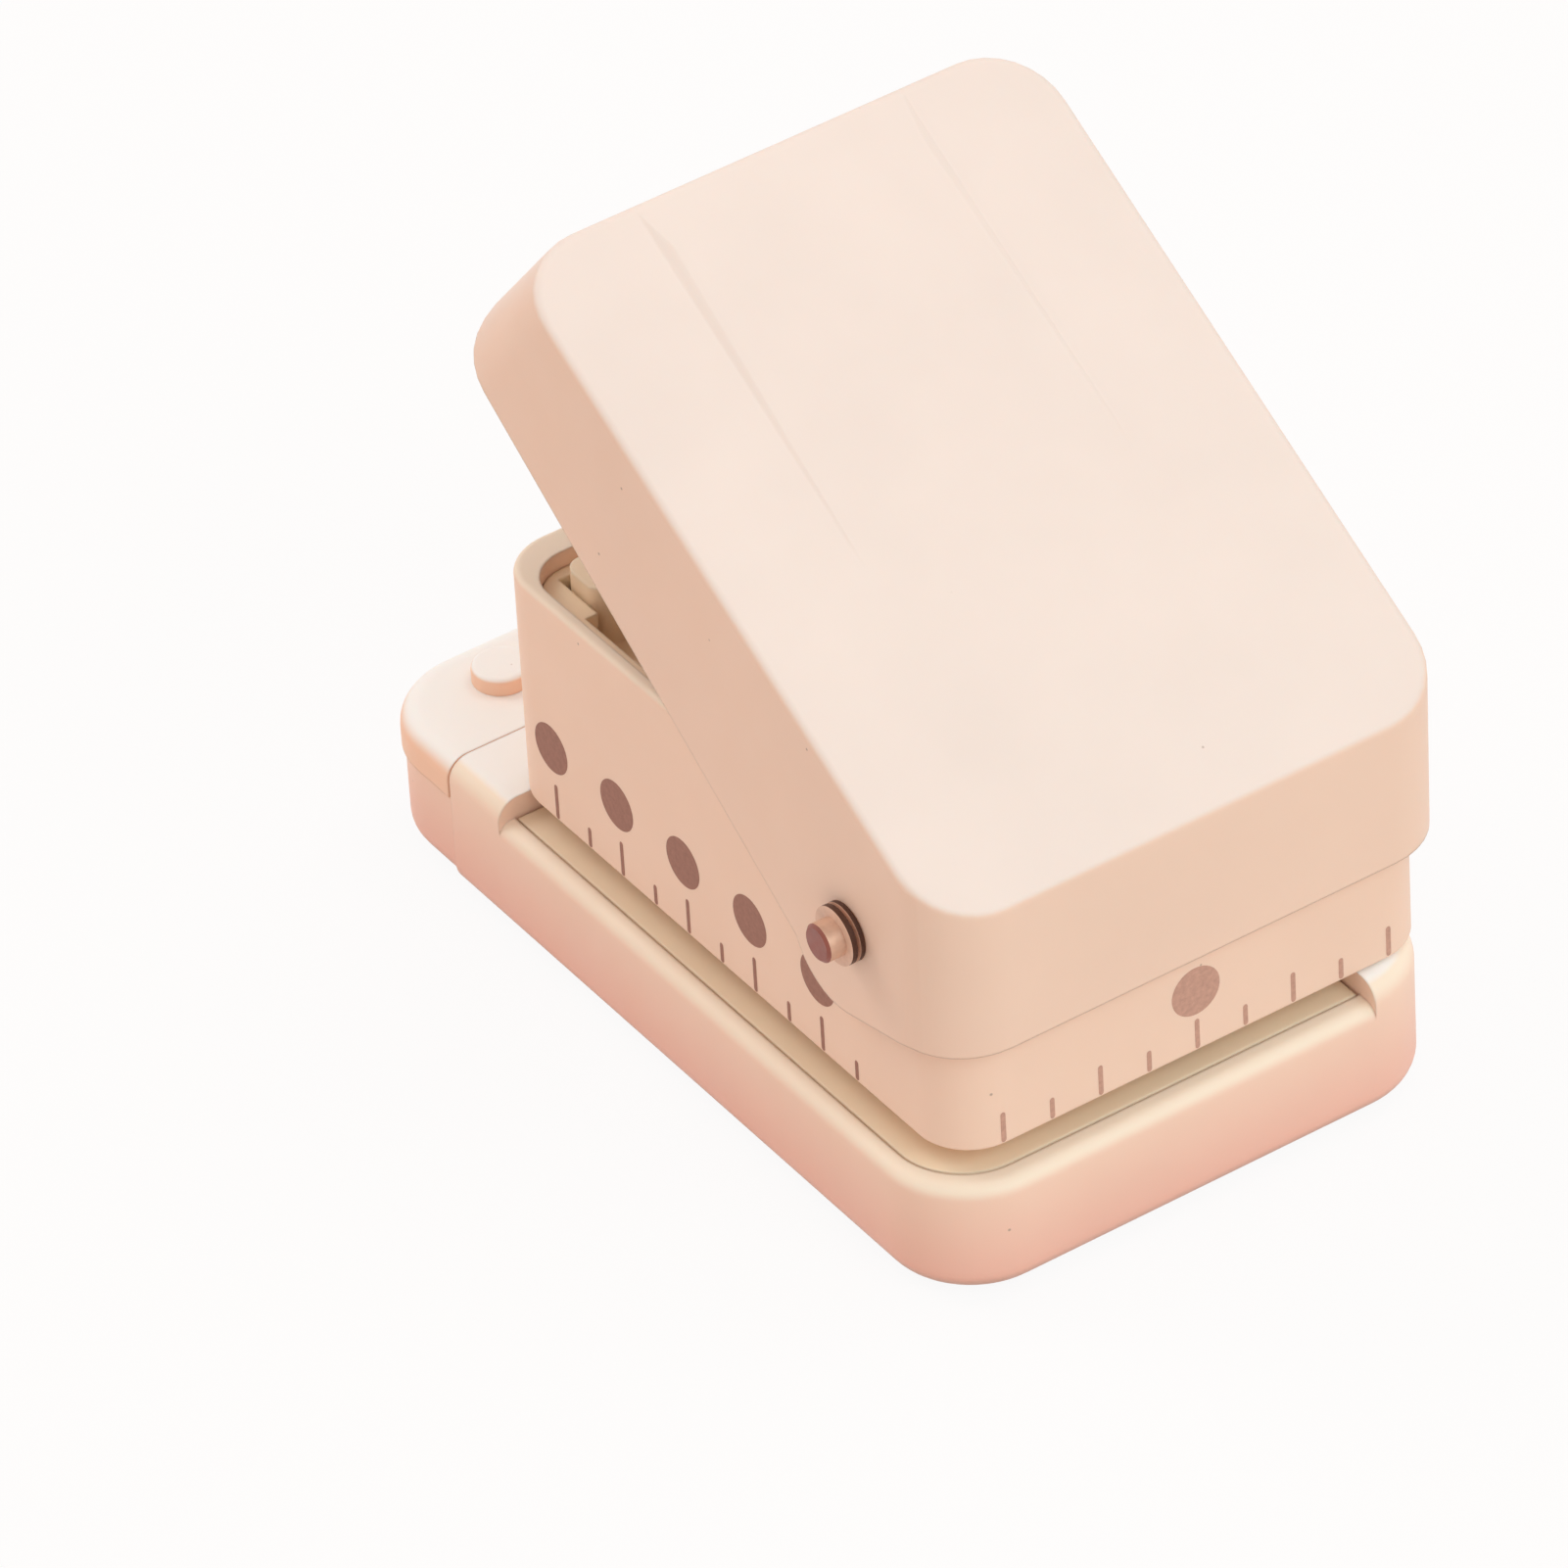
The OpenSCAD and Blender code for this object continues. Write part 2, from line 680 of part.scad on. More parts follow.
module lever() {
  roof_in = lever_top - roof_t;
  color(cream) lever_frame() difference() {
    union() {
      difference() {
        intersection() {
          lever_skin();
          across(far) lever_side();
        }
        lever_inside();
      }
      lever_panel();
      // Cam lobe, hung from the roof by a web, and the ribs behind it
      translate([0, cam_y, -cam_z]) {
        translate([-cam_half, 0, 0]) rotate([0, 90, 0]) cylinder(r = cam_r, h = 2 * cam_half);
        translate([-cam_half, -cam_web / 2, 0]) cube([2 * cam_half, cam_web, roof_in + cam_z + 0.5]);
      }
      for (x = [-rib_x, rib_x]) translate([x - rib_t / 2, cam_y, roof_in - rib_h])
        cube([rib_t, lever_reach - cam_y - rib_end, rib_h + 0.5]);
    }
    cross_bore(0, 0, pin_d + 2 * pin_clear);
  }
}

module presser() {
  leg_l = inner_y1 - cap_front - cap_r;
  color(cream) difference() {
    union() {
      translate([0, 0, cap_z]) linear_extrude(cap_t)
        round_rect(inner_x0, cap_front, inner_x1, inner_y1, cap_r);
      // Raised block that shows under the open lever, flush with the rim
      translate([0, 0, press_top - 1]) linear_extrude(rim_z - press_top + 1)
        round_rect(-block_half, block_y1 - block_l, block_half, block_y1, block_r);
      // Leg over the row, and tongue over the single punch that passes under the pivot pin
      translate([inner_x0, cap_front, press_z]) cube([carrier_x1 - inner_x0, leg_l, cap_z - press_z + 1]);
      translate([-single_half, inner_y0, press_z])
        cube([2 * single_half, cap_front + 4 - inner_y0, tongue_top - press_z]);
    }
    at_each(spring_at) translate([0, 0, cap_z - 1])
      cylinder(d = spring_d + 2 * slide_gap, h = spring_seat + 1);
    at_each(carrier_screws_at) translate([0, 0, press_z - 1])
      cylinder(d = carrier_screw_d, h = carrier_screw_l - carrier_t + 1);
  }
}

module pin_carrier() {
  color(steel) difference() {
    translate([0, 0, carrier_z]) linear_extrude(carrier_t) {
      round_rect(inner_x0, inner_y0, carrier_x1, inner_y1 - cap_r, cap_r);
      round_rect(inner_x0, inner_y0, single_half, tie_y + 2, cap_r);
    }
    at_punches() {
      cylinder(d = bore_d, h = far);
      translate([0, 0, press_z - head_t]) cylinder(d = head_d + 2 * seat_gap, h = far);
    }
    at_each(carrier_screws_at) cylinder(d = carrier_screw_d, h = far);
  }
}

module carrier_screws() {
  color(steel) at_each(carrier_screws_at) translate([0, 0, carrier_z])
    cylinder(d = carrier_screw_d, h = carrier_screw_l);
}

// Punch with a flat head and a hollow-ground tip
module punch() {
  tip = ceiling + tip_rise;
  grind_d = 1.3 * punch_d;
  color(steel) difference() {
    union() {
      translate([0, 0, tip]) cylinder(d = punch_d, h = press_z - tip);
      translate([0, 0, press_z - head_t]) cylinder(d = head_d, h = head_t);
    }
    cross_bore(0, tip - punch_d / 2, grind_d);
  }
}

module row_punch(i) {
  translate([row_x, row_y(i), 0]) punch();
}

module single_punch() {
  at_single() punch();
}

// Ring of points round the wire of a spring, a share t along it
function wire_ring(t, sides) =
  let (turn = 360 * spring_turns * t, r = (spring_d - wire_d) / 2, z = wire_d / 2 + t * (spring_l - wire_d))
  [for (k = [0 : sides - 1])
    let (a = 360 * k / sides, out = r + wire_d / 2 * cos(a))
    [out * cos(turn), out * sin(turn), z + wire_d / 2 * sin(a)]];

module coil_spring() {
  sides = 6;
  rings = 10 * spring_turns;
  points = [for (i = [0 : rings]) each wire_ring(i / rings, sides)];
  walls = [for (i = [0 : rings - 1], k = [0 : sides - 1])
    let (a = i * sides + k, b = i * sides + (k + 1) % sides)
    each [[a, a + sides, b], [b, a + sides, b + sides]]];
  ends = [[for (k = [0 : sides - 1]) k], [for (k = [sides - 1 : -1 : 0]) rings * sides + k]];
  polyhedron(points, concat(walls, ends));
}

module return_spring(i) {
  color(steel) translate([spring_at[i][0], spring_at[i][1], floor_z]) coil_spring();
}

module gauge_block() {
  color(cream) difference() {
    union() {
      intersection() {
        moulded_slab(base_x0, base_y0, base_x1, base_y1, gauge_z, gauge_top, base_r, land_rim_r, 0);
        translate([-far, gauge_y + slide_gap, 0]) cube([2 * far, far, far]);
      }
      translate([row_x, stud_y, gauge_top - 1]) rotate_extrude()
        edge_section(stud_d / 2, 0, stud_h + 1, 0.5, 0);
      // Tongue that runs in the base
      translate([tongue_x0, gauge_y - tongue_l, tongue_z])
        cube([tongue_w, tongue_l + slide_gap + 1, tongue_t]);
    }
    // Slot that runs along the stop pin
    translate([stop_pin_at[0] - stop_slot_half, stop_pin_at[1] - gauge_travel - stop_slot_half, 0])
      cube([2 * stop_slot_half, gauge_travel + 2 * stop_slot_half, far]);
  }
}

module gauge_stop_pin() {
  z0 = tongue_z - seat_gap - tunnel_wall;
  color(steel) at_each([stop_pin_at]) translate([0, 0, z0])
    cylinder(d = stop_pin_d, h = tongue_z + tongue_t - z0);
}

// Tray that plugs the base from below: a plate with a rim, and a notch for a finger nail
module chip_tray() {
  rim_in = tray_inset + ledge_w + seat_gap;
  color(cream) difference() {
    union() {
      linear_extrude(tray_t) base_plan(tray_inset + seat_gap);
      linear_extrude(ledge_z + tray_rim_h) difference() {
        base_plan(rim_in);
        base_plan(rim_in + tray_rim_t);
      }
    }
    translate([0, base_y0 + tray_inset + seat_gap, -1]) cylinder(r = nail_r, h = 1 + tray_t / 2);
  }
}

base_shell();
deck_plate();
die_strip();
single_die();
punch_body();
top_frame();
body_screws();
pivot_pin();
pin_washer(-1);  // washer_left
pin_washer(1);  // washer_right
pin_clip(-1);  // clip_left
pin_clip(1);  // clip_right
lever();
presser();
pin_carrier();
carrier_screws();
row_punch(4);  // punch_1
row_punch(3);  // punch_2
row_punch(2);  // punch_3
row_punch(1);  // punch_4
row_punch(0);  // punch_5
single_punch();
return_spring(0);  // return_spring_1
return_spring(1);  // return_spring_2
gauge_block();
gauge_stop_pin();
chip_tray();
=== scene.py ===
"""Finishes, printed marks, springs and studio for a portable hole punch, in metres."""

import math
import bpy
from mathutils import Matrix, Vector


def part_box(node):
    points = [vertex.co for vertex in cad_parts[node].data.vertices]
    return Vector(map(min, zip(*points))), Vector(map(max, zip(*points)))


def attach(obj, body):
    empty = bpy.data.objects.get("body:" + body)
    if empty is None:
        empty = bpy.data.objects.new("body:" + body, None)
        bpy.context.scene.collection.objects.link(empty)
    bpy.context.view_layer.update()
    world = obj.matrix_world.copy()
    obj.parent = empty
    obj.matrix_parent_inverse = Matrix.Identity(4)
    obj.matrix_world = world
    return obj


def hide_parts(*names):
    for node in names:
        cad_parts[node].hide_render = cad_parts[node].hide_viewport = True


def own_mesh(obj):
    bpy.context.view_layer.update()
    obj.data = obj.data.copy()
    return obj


bl_info = {
    "name": "Portable hole punch",
    "version": (1, 0, 0),
    "blender": (4, 5, 0),
    "location": "View3D > Sidebar > Hole punch",
    "description": "Finishes the moulded and metal pieces of a small desk punch and prints its marks",
    "category": "Object",
}

import bmesh
import bpy
from bpy.props import FloatProperty, FloatVectorProperty, IntProperty, PointerProperty
from mathutils import Matrix, Vector

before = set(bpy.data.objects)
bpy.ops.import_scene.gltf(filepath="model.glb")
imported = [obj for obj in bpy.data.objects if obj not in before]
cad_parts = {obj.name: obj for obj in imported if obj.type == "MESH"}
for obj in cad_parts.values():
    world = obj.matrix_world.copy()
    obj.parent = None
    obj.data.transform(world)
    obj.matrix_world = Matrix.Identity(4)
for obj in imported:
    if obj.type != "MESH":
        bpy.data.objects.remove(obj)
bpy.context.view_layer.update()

MM = 0.001
BODY_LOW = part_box("punch_body")[0]
ROW_PUNCHES = ["punch_1", "punch_2", "punch_3", "punch_4", "punch_5"]

# Which finish each solid gets
LEVER_SHELLS = ["lever"]
GAUGE_SHELLS = ["gauge_block"]
BODY_SHELLS = ["punch_body"]
BLUSH_SHELLS = ["base_shell", "chip_tray"]
# The deck, the frame and the presser get a tan of painted warm shade
SHADE_TAN_SHELLS = ["deck_plate", "top_frame", "presser"]
STEEL_WORKS = ROW_PUNCHES + [
    "single_punch", "die_strip", "single_die", "pin_carrier",
    "carrier_screws", "body_screws", "gauge_stop_pin",
]
PIN_WORKS = ["pivot_pin"]
CLIP_WORKS = ["clip_left", "clip_right", "washer_left", "washer_right"]
SPRINGS = ["return_spring_1", "return_spring_2"]

# Range of a noise between its darker and its lighter lumps
NOISE_LOW, NOISE_HIGH = 0.3, 0.7

# Upward slope over which the base's round rim turns cream: a painted highlight
RIM_SLOPE = (0.05, 0.75)

# Share of the rim's height at which the base has its full foot colour
FOOT_SHARE = 0.15

# How dark the specks and the painted shade under lower edges are, and the downward slope over which that
# painted shade lies
SPECK_AND_SHADE_DARK = 0.42
UNDERSIDE_SLOPE = (-0.15, -0.6)

# How dark the middle of a speck is, and how much of the speck is that dark
SPECK_DARK = 0.75
SPECK_MIDDLE = 0.5

# Patches of uneven gloss on the plastic, and the strength of its grain
GLOSS_SIZE = 6 * MM
GLOSS_SPREAD = 0.06
GRAIN_STRENGTH = 0.35

# Lumps in a coat of ink
COAT_SIZE = 0.45 * MM

# Printed pad: width of its sloping rim, share of its height below the slope, and depth inside the plastic
INK_SLOPE = 0.04 * MM
INK_FOOT = 0.4
INK_ROOT = 0.02 * MM

# Fine streaks and clouds of tarnish on metal, and how far the streaks change the roughness
STREAK_SIZE = 0.12 * MM
TARNISH_SIZE = 1.6 * MM
STREAK_SPREAD = (0.08, 0.1)

# Sideways slope over which the end faces of the pin, clips and washers begin
END_SLOPE = (0.6, 0.69)

# Depth of the fine relief of ink and metal
FINE_DEPTH = 0.004 * MM

# Directions on the two marked faces: out of the face, along it, and up
LEFT_FACE = (Vector((-1, 0, 0)), Vector((0, -1, 0)), Vector((0, 0, 1)))
FRONT_FACE = (Vector((0, -1, 0)), Vector((1, 0, 0)), Vector((0, 0, 1)))


def srgb(red, green, blue):
    """Linear colour of a picture colour with channels from 0 to 255."""
    linear = []
    for channel in (red, green, blue):
        share = channel / 255
        linear.append(share / 12.92 if share <= 0.04045 else ((share + 0.055) / 1.055) ** 2.4)
    return tuple(linear)


def colour_property(label, words, colour):
    """A colour that a user may change."""
    return FloatVectorProperty(
        name=label, description=words, subtype="COLOR", size=3, min=0, max=1, default=srgb(*colour))


def length_property(label, words, millimetres):
    """A length that a user may change, written in millimetres and kept in metres."""
    return FloatProperty(
        name=label, description=words, subtype="DISTANCE", unit="LENGTH", min=0, precision=5,
        default=millimetres * MM)


class PlasticSettings(bpy.types.PropertyGroup):
    """Colours and texture of the moulded shells"""

    lever: colour_property("Lever", "Colour of the lever", (243, 213, 194))
    body: colour_property("Body", "Colour of the body", (248, 217, 197))
    gauge: colour_property("Gauge", "Colour of the gauge's sides", (252, 208, 181))
    # Painted light: the next three colours make upward faces paler where the light falls, and the rim
    # colour also paints a highlight on the base's round rim
    lit_gauge_top: colour_property("Gauge top", "Paler colour of the gauge's and land's tops", (255, 254, 251))
    lit_top: colour_property("Lit top", "Paler colour of the lever's top", (240, 224, 215))
    rim: colour_property("Rim", "Cream colour of the rims of the base and the body", (255, 237, 217))
    side: colour_property("Side", "Colour of the base's sides below its rim", (252, 221, 201))
    blush: colour_property("Blush", "Colour of the base at its foot", (245, 194, 178))
    # Painted shade: the tan stands in for the warm shade of the cream plastic in the slot and the recess
    tan: colour_property("Tan", "Colour of the deck, the frame and the presser", (255, 233, 204))
    rim_height: length_property("Rim height", "Height below which the base turns to its foot colour", 12)
    grain: length_property("Grain", "Size of the fine moulded grain", 0.16)
    grain_depth: length_property("Grain depth", "Depth of the fine moulded grain", 0.006)
    mottle: length_property("Mottle", "Size of the faint clouds in the colour", 14)
    edge: length_property("Edge", "Radius of the softened moulded edges", 0.35)
    speck: length_property("Speck", "Diameter of the largest dark specks", 0.34)
    speck_pitch: length_property("Speck pitch", "Distance between the specks in the plastic", 6)
    roughness: FloatProperty(
        name="Roughness", description="How matt the moulded surface is", subtype="FACTOR",
        min=0, max=1, default=0.5)


class MarkSettings(bpy.types.PropertyGroup):
    """Sizes and colours of the printed marks"""

    ink: colour_property("Ink", "Colour of the marks on the left face", (158, 115, 102))
    front_ink: colour_property("Front ink", "Colour of the marks on the front face", (197, 155, 139))
    ink_height: length_property("Ink height", "How far the print stands off the plastic", 0.03)
    dot: length_property("Dot", "Diameter of a printed dot", 4.7)
    row_dot_z: length_property("Row dot height", "Height of the row's dots above the body's foot", 7.35)
    tick_shift: length_property("Tick shift", "How far the row's ticks stand before their holes", 0.3)
    front_dot_z: length_property("Front dot height", "Height of the front dot above the body's foot", 6.1)
    tick: length_property("Tick", "Width of a tick", 0.45)
    tick_foot: length_property("Tick foot", "Height of the ticks' lower ends above the body's foot", 0.25)
    long_tick: length_property("Long tick", "Length of a tick under a dot", 3.5)
    short_tick: length_property("Short tick", "Length of a tick between two dots", 2.0)
    front_long_tick: length_property("Front long tick", "Length of a long tick on the front", 3.0)
    front_short_tick: length_property("Front short tick", "Length of a short tick on the front", 2.1)


class MetalSettings(bpy.types.PropertyGroup):
    """Colours of the metal pieces and the make of the springs"""

    bronze: colour_property("Bronze", "Colour of the pin and the faces of its clips", (226, 190, 168))
    pin_end: colour_property("Pin end", "Colour of the pin's lacquered ends", (148, 80, 66))
    brown: colour_property("Brown", "Colour of the rims of the clips and washers", (84, 54, 42))
    steel: colour_property("Steel", "Colour of the punches, dies and screws", (186, 188, 192))
    spring_steel: colour_property("Spring steel", "Colour of the return springs", (150, 152, 156))
    wire: length_property("Wire", "Diameter of the spring wire", 0.8)
    turns: IntProperty(name="Turns", description="Number of turns of a spring", min=3, max=9, default=6)


class StageSettings(bpy.types.PropertyGroup):
    """Floor and light of the studio"""

    floor: colour_property("Floor", "Colour of the floor", (236, 220, 210))
    room: colour_property("Room", "Colour of the light from all sides", (255, 244, 237))
    room_light: FloatProperty(
        name="Room light", description="Strength of the light from all sides", min=0, max=2, default=0.65)
    key_light: FloatProperty(
        name="Key light", description="Power of the main lamp in watts", min=0, max=50, default=1.4)
    fill_light: FloatProperty(
        name="Fill light", description="Power of the lamp in front in watts", min=0, max=50, default=2.6)
    rim_light: FloatProperty(
        name="Rim light", description="Power of the lamp behind in watts", min=0, max=50, default=1.95)


class HolePunchSettings(bpy.types.PropertyGroup):
    """All settings of the hole punch"""

    plastic: PointerProperty(type=PlasticSettings)
    marks: PointerProperty(type=MarkSettings)
    metal: PointerProperty(type=MetalSettings)
    stage: PointerProperty(type=StageSettings)


def new_material(name):
    """An empty node material, its node tree and its surface shader."""
    material = bpy.data.materials.new(name)
    material.use_nodes = True
    tree = material.node_tree
    return material, tree, tree.nodes["Principled BSDF"]


def add_node(tree, kind, **values):
    """A node whose settings or input values are given by name."""
    made = tree.nodes.new(kind)
    for name, value in values.items():
        if name in made.inputs:
            made.inputs[name].default_value = value
        else:
            setattr(made, name, value)
    return made


def noise(tree, place, size, detail=2.0, roughness=0.5):
    """Noise whose lumps are about a size across, in metres."""
    made = add_node(tree, "ShaderNodeTexNoise", Scale=1 / size, Detail=detail, Roughness=roughness)
    tree.links.new(place, made.inputs["Vector"])
    return made


def shade(colour, share):
    """A colour made darker or lighter, with an alpha of 1."""
    return tuple(min(1.0, channel * share) for channel in colour) + (1.0,)


def facing(tree, normal, axis, low, high, most=1.0, both_ways=False):
    """How far a surface faces along an axis, from 0 at low to its most at high."""
    part = add_node(tree, "ShaderNodeSeparateXYZ")
    tree.links.new(normal, part.inputs["Vector"])
    size = part.outputs[axis]
    if both_ways:
        length = add_node(tree, "ShaderNodeMath", operation="ABSOLUTE")
        tree.links.new(size, length.inputs[0])
        size = length.outputs["Value"]
    share = add_node(
        tree, "ShaderNodeMapRange", interpolation_type="SMOOTHSTEP",
        **{"From Min": low, "From Max": high, "To Max": most})
    tree.links.new(size, share.inputs["Value"])
    return share.outputs["Result"]


def cloudy(tree, clouds, colour, dark=0.98, light=1.012):
    """A colour that is darker and lighter in clouds."""
    tint = add_node(tree, "ShaderNodeValToRGB")
    tint.color_ramp.elements[0].position = NOISE_LOW
    tint.color_ramp.elements[0].color = shade(colour, dark)
    tint.color_ramp.elements[1].position = NOISE_HIGH
    tint.color_ramp.elements[1].color = shade(colour, light)
    tree.links.new(clouds.outputs["Fac"], tint.inputs["Fac"])
    return tint.outputs["Color"]


def mix_colours(tree, share, first, second):
    """The first colour where a share is 0, the second where it is 1."""
    mixed = add_node(tree, "ShaderNodeMix", data_type="RGBA")
    tree.links.new(share, mixed.inputs["Factor"])
    tree.links.new(first, mixed.inputs[6])
    tree.links.new(second, mixed.inputs[7])
    return mixed.outputs[2]


def specks(tree, place, plastic):
    """How dark the few fine specks of the plastic are, 0 around them."""
    spots = add_node(tree, "ShaderNodeTexVoronoi", Scale=1 / plastic.speck_pitch)
    tree.links.new(place, spots.inputs["Vector"])
    size = plastic.speck / plastic.speck_pitch / 2
    share = add_node(
        tree, "ShaderNodeMapRange",
        **{"From Min": SPECK_MIDDLE * size, "From Max": size, "To Min": SPECK_DARK, "To Max": 0.0})
    tree.links.new(spots.outputs["Distance"], share.inputs["Value"])
    return share.outputs["Result"]


def uneven_gloss(tree, surface, lumps, low, high):
    """A roughness that goes from low to high with a noise."""
    spread = add_node(
        tree, "ShaderNodeMapRange",
        **{"From Min": NOISE_LOW, "From Max": NOISE_HIGH, "To Min": low, "To Max": high})
    tree.links.new(lumps.outputs["Fac"], spread.inputs["Value"])
    tree.links.new(spread.outputs["Result"], surface.inputs["Roughness"])


def fine_relief(tree, surface, lumps, strength, depth, normal=None):
    """A shallow relief of a noise, over softened edges where their normal is given."""
    bump = add_node(tree, "ShaderNodeBump", Strength=strength, Distance=depth)
    if normal:
        tree.links.new(normal, bump.inputs["Normal"])
    tree.links.new(lumps.outputs["Fac"], bump.inputs["Height"])
    tree.links.new(bump.outputs["Normal"], surface.inputs["Normal"])


def plastic_material(
        name, plastic, colour, lit_top, foot=None, rim=None,
        rough_shift=0.0, under_shade=0.0, level=(0.25, 0.85)):
    """Moulded plastic with clouds, specks, a fine grain and softened edges; painted light makes its upward
    faces paler, and where asked painted shade darkens its downward edges.
    """
    material, tree, surface = new_material(name)
    where = add_node(tree, "ShaderNodeTexCoord")
    place = where.outputs["Object"]
    clouds = noise(tree, place, plastic.mottle, detail=3)
    tint = cloudy(tree, clouds, colour)
    # Painted light: how far a face looks up, for the paler colour of upward faces
    upward = facing(tree, where.outputs["Normal"], "Z", *level)
    if foot:
        height = add_node(tree, "ShaderNodeSeparateXYZ")
        tree.links.new(place, height.inputs["Vector"])
        share = add_node(
            tree, "ShaderNodeMapRange",
            **{"From Min": plastic.rim_height, "From Max": FOOT_SHARE * plastic.rim_height})
        tree.links.new(height.outputs["Z"], share.inputs["Value"])
        tint = mix_colours(tree, share.outputs["Result"], tint, cloudy(tree, clouds, foot))
        # Painted highlight: the base's upward round rim turns cream
        lit_round_rim = facing(tree, where.outputs["Normal"], "Z", *RIM_SLOPE)
        tint = mix_colours(tree, lit_round_rim, tint, cloudy(tree, clouds, rim))
        raised = add_node(tree, "ShaderNodeMath", operation="GREATER_THAN")
        raised.inputs[1].default_value = plastic.rim_height
        tree.links.new(height.outputs["Z"], raised.inputs[0])
        both = add_node(tree, "ShaderNodeMath", operation="MULTIPLY")
        tree.links.new(upward, both.inputs[0])
        tree.links.new(raised.outputs["Value"], both.inputs[1])
        upward = both.outputs["Value"]
    # Painted light: upward faces take the paler top colour
    tint = mix_colours(tree, upward, tint, cloudy(tree, clouds, lit_top))
    speck_and_shade = add_node(tree, "ShaderNodeRGB")
    speck_and_shade.outputs[0].default_value = shade(colour, SPECK_AND_SHADE_DARK)
    tint = mix_colours(tree, specks(tree, place, plastic), tint, speck_and_shade.outputs[0])
    edges = add_node(tree, "ShaderNodeBevel", samples=6, Radius=plastic.edge)
    # Painted shade: downward edges and undersides are darkened
    if under_shade:
        below = facing(tree, edges.outputs["Normal"], "Z", *UNDERSIDE_SLOPE, under_shade)
        tint = mix_colours(tree, below, tint, speck_and_shade.outputs[0])
    tree.links.new(tint, surface.inputs["Base Color"])
    gloss = noise(tree, place, GLOSS_SIZE, detail=4, roughness=0.6)
    matt = plastic.roughness + rough_shift
    uneven_gloss(tree, surface, gloss, matt - GLOSS_SPREAD, matt + GLOSS_SPREAD)
    grain = noise(tree, place, plastic.grain, detail=2, roughness=0.55)
    fine_relief(tree, surface, grain, GRAIN_STRENGTH, plastic.grain_depth, edges.outputs["Normal"])
    surface.inputs["IOR"].default_value = 1.49
    surface.inputs["Specular IOR Level"].default_value = 0.4
    surface.inputs["Subsurface Weight"].default_value = 0.12
    surface.inputs["Subsurface Radius"].default_value = (1.0, 0.55, 0.4)
    surface.inputs["Subsurface Scale"].default_value = 1.5 * MM
    return material


def ink_material(name, colour):
    """Pad-printed ink: a thin uneven coat with pinholes of paler colour."""
    material, tree, surface = new_material(name)
    place = add_node(tree, "ShaderNodeTexCoord").outputs["Object"]
    coat = noise(tree, place, COAT_SIZE, detail=4, roughness=0.65)
    tint = cloudy(tree, coat, colour, dark=0.92, light=1.16)
    tree.links.new(tint, surface.inputs["Base Color"])
    fine_relief(tree, surface, coat, strength=0.3, depth=FINE_DEPTH)
    surface.inputs["Roughness"].default_value = 0.62
    surface.inputs["Specular IOR Level"].default_value = 0.3
    return material


def metal_material(name, colour, roughness, streak, metallic=1.0, end_colour=None):
    """Turned or drawn metal: fine streaks, a cloudy tarnish and, if asked for, lacquered ends along X."""
    material, tree, surface = new_material(name)
    where = add_node(tree, "ShaderNodeTexCoord")
    place = where.outputs["Object"]
    stretch = add_node(tree, "ShaderNodeMapping", Scale=streak)
    tree.links.new(place, stretch.inputs["Vector"])
    streaks = noise(tree, stretch.outputs["Vector"], STREAK_SIZE, detail=3)
    tarnish = noise(tree, place, TARNISH_SIZE, detail=4, roughness=0.6)
    tint = cloudy(tree, tarnish, colour, dark=0.82, light=1.08)
    surface.inputs["Metallic"].default_value = metallic
    if end_colour:
        end = facing(tree, where.outputs["Normal"], "X", *END_SLOPE, both_ways=True)
        lacquer = cloudy(tree, tarnish, end_colour, dark=0.86, light=1.1)
        tint = mix_colours(tree, end, tint, lacquer)
        bare = add_node(tree, "ShaderNodeMapRange", **{"To Min": metallic, "To Max": 0.0})
        tree.links.new(end, bare.inputs["Value"])
        tree.links.new(bare.outputs["Result"], surface.inputs["Metallic"])
    tree.links.new(tint, surface.inputs["Base Color"])
    smoother, rougher = STREAK_SPREAD
    uneven_gloss(tree, surface, streaks, roughness - smoother, roughness + rougher)
    fine_relief(tree, surface, streaks, strength=0.25, depth=FINE_DEPTH)
    return material


def finish_solids(names, material):
    """Gives solids of the frame a finish."""
    for name in names:
        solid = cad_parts[name]
        solid.data.materials.clear()
        solid.data.materials.append(material)


def smooth_facets(solid, bend, near=0.002 * MM):
    """Shades a faceted solid as a smooth form: only edges bent by more than an angle stay sharp."""
    tree = bpy.data.node_groups.new("smooth_facets", "GeometryNodeTree")
    for way in ("INPUT", "OUTPUT"):
        tree.interface.new_socket("Geometry", in_out=way, socket_type="NodeSocketGeometry")
    shape = add_node(tree, "NodeGroupInput").outputs[0]
    sharp = add_node(tree, "FunctionNodeCompare", operation="GREATER_THAN")
    sharp.inputs[1].default_value = bend
    tree.links.new(add_node(tree, "GeometryNodeInputMeshEdgeAngle").outputs[0], sharp.inputs[0])
    weld = add_node(tree, "GeometryNodeMergeByDistance", Distance=near)
    normals = add_node(tree, "GeometryNodeSetMeshNormal", **{"Remove Custom": True})
    tree.links.new(sharp.outputs[0], normals.inputs["Edge Sharpness"])
    for step in (weld, normals):
        tree.links.new(shape, step.inputs[0])
        shape = step.outputs[0]
    tree.links.new(shape, add_node(tree, "NodeGroupOutput").inputs[0])
    solid.modifiers.new("smooth_facets", "NODES").node_group = tree
    evened = solid.modifiers.new("even_normals", "WEIGHTED_NORMAL")
    evened.keep_sharp = True


def finished_mesh(bm, name):
    """A mesh of the faces made so far, all turned outwards."""
    bmesh.ops.recalc_face_normals(bm, faces=bm.faces[:])
    mesh = bpy.data.meshes.new(name)
    bm.to_mesh(mesh)
    bm.free()
    return mesh


